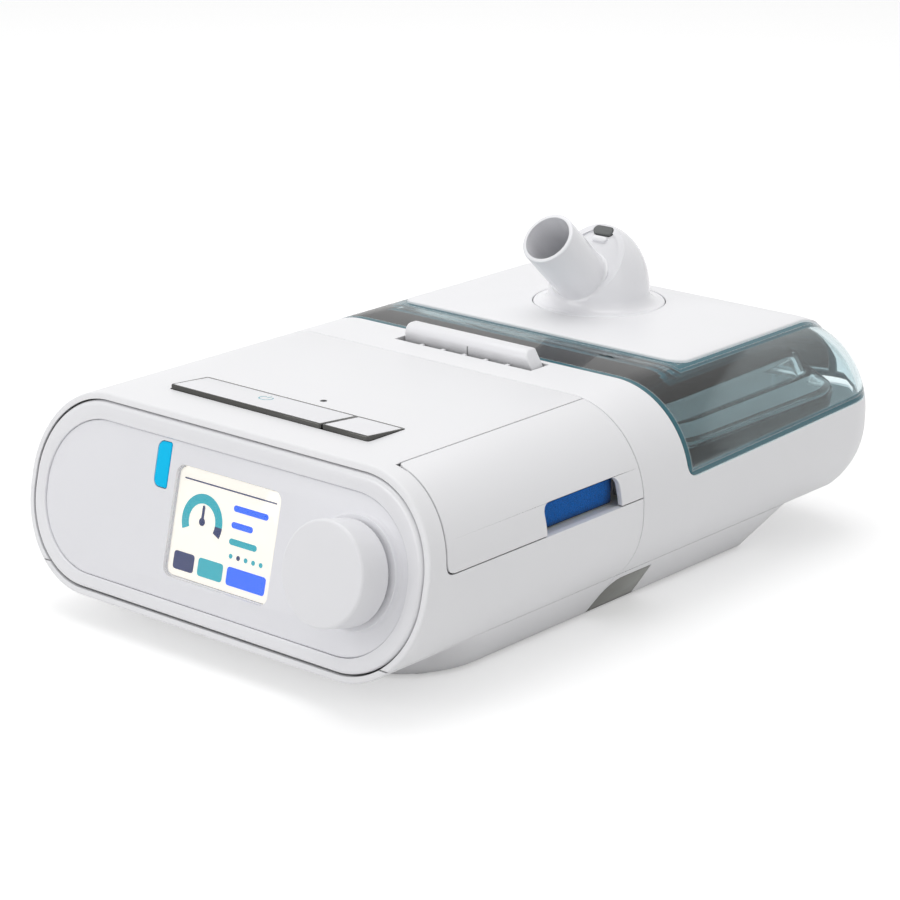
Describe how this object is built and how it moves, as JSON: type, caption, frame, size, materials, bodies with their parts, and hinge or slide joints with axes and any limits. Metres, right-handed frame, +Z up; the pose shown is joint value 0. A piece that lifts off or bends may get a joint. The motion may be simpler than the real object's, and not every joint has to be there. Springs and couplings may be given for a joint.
{
  "type": "cpap machine",
  "caption": "Bedside breathing-therapy machine: slanted oval face with colour display and push dial, top keys, side filter door, docked humidifier with hinged clear lid and swivelling hose elbow.",
  "frame": {"origin": "middle of the bounding box's footprint, on the floor under the feet", "axes": "+X to the right as seen from the front, +Y from the dial face to the rear, +Z up"},
  "size_m": [0.193, 0.297, 0.1234],
  "materials": {
    "case_white": "fine satin moulding",
    "gloss_white": "gloss",
    "plate_grey": "semi-gloss",
    "key_white": "satin",
    "bright_metal": "polished",
    "steel": "plain",
    "black_plastic": "satin",
    "smoke_grey": "smooth",
    "grey_rubber": "matt",
    "soft_white": "matt",
    "accent_blue": "translucent silicone",
    "filter_blue": "open foam",
    "board_green": "solder mask on glass epoxy",
    "foam_grey": "open foam",
    "copper": "enamelled winding",
    "aluminium": "rolled",
    "lens_clear": "clear window",
    "smoke_clear": "clear, teal-grey tint",
    "tank_clear": "clear",
    "screen": null
  },
  "bodies": {
    "therapy_unit": {"front_bezel": "gloss_white", "face_plate": "plate_grey", "screen_lens": "lens_clear", "lcd_module": "screen", "accent_strip": "accent_blue", "display_board": "board_green", "encoder": "black_plastic", "upper_case": "case_white", "lower_case": "case_white", "rubber_foot_1": "grey_rubber", "rubber_foot_2": "grey_rubber", "case_screw_1": "steel", "case_screw_2": "steel", "case_screw_3": "steel", "case_screw_4": "steel", "key_board": "board_green", "light_sensor_lens": "black_plastic", "door_pin": "steel", "air_filter": "filter_blue", "filter_bay": "soft_white", "blower_lower": "soft_white", "blower_upper": "soft_white", "motor_stator": "copper", "blower_mount": "grey_rubber", "outlet_sleeve": "grey_rubber", "main_board": "board_green", "foam_silencer": "foam_grey", "dc_inlet": "black_plastic", "dock_plug": "black_plastic"},
    "dial_plunger": {"dial_plunger": "black_plastic"},
    "dial": {"dial": "key_white", "dial_shaft": "steel"},
    "therapy_key": {"therapy_key": "key_white", "therapy_key_band": "bright_metal"},
    "ramp_key": {"ramp_key": "key_white", "ramp_key_band": "bright_metal"},
    "side_door": {"side_door": "case_white"},
    "rotor": {"impeller": "black_plastic", "motor_rotor": "steel"},
    "humidifier": {"humidifier_case": "case_white", "humidifier_base": "case_white", "rubber_foot_3": "grey_rubber", "rubber_foot_4": "grey_rubber", "grip_pad_right": "smoke_grey", "grip_pad_left": "smoke_grey", "air_duct": "soft_white", "dock_socket": "black_plastic", "latch_spring": "steel", "heater_insulator": "foam_grey", "heater_plate": "aluminium", "tank_body": "tank_clear", "tank_base_plate": "steel", "tank_seal": "accent_blue", "tank_lid": "tank_clear", "lid_hinge_pin": "steel"},
    "latch": {"latch_bar": "key_white"},
    "lid": {"lid_shell": "smoke_clear", "lid_cover": "case_white"},
    "elbow": {"elbow": "gloss_white", "elbow_contact": "grey_rubber"}
  },
  "joints": [
    {"name": "humidifier_dock", "type": "slide", "parent": "therapy_unit", "child": "humidifier", "axis": [0, 1, 0], "range_m": [0, 0.03]},
    {"name": "lid_hinge", "type": "hinge", "parent": "humidifier", "child": "lid", "pos_m": [0, 0.1461, 0.0555], "axis": [-1, 0, 0], "range_deg": [0, 90]},
    {"name": "elbow_swivel", "type": "hinge", "parent": "lid", "child": "elbow", "pos_m": [-0.008, 0.0947, 0.082], "axis": [0, 0, 1], "continuous": true},
    {"name": "latch_press", "type": "hinge", "parent": "humidifier", "child": "latch", "pos_m": [0, 0.008, 0.079], "axis": [1, 0, 0], "range_deg": [0, 8], "stiffness_Nm_per_rad": 0.1, "springref_deg": -5.73},
    {"name": "door_hinge", "type": "hinge", "parent": "therapy_unit", "child": "side_door", "pos_m": [0.0705, -0.065, 0.07998], "axis": [0, -1, 0], "range_deg": [0, 85]},
    {"name": "therapy_key_press", "type": "slide", "parent": "therapy_unit", "child": "therapy_key", "axis": [0, 0, -1], "range_m": [0, 0.001], "stiffness_N_per_m": 400, "springref_m": -0.001},
    {"name": "ramp_key_press", "type": "slide", "parent": "therapy_unit", "child": "ramp_key", "axis": [0, 0, -1], "range_m": [0, 0.001], "stiffness_N_per_m": 400, "springref_m": -0.001},
    {"name": "dial_press", "type": "slide", "parent": "therapy_unit", "child": "dial_plunger", "axis": [0, 0.9724, -0.2334], "range_m": [0, 0.001], "stiffness_N_per_m": 800, "springref_m": -0.001},
    {"name": "dial_turn", "type": "hinge", "parent": "dial_plunger", "child": "dial", "pos_m": [0.0646, -0.12797, 0.04788], "axis": [0, -0.9724, 0.2334], "continuous": true},
    {"name": "rotor_spin", "type": "hinge", "parent": "therapy_unit", "child": "rotor", "pos_m": [-0.024, -0.06401, 0.02], "axis": [0, 0, 1], "continuous": true}
  ]
}
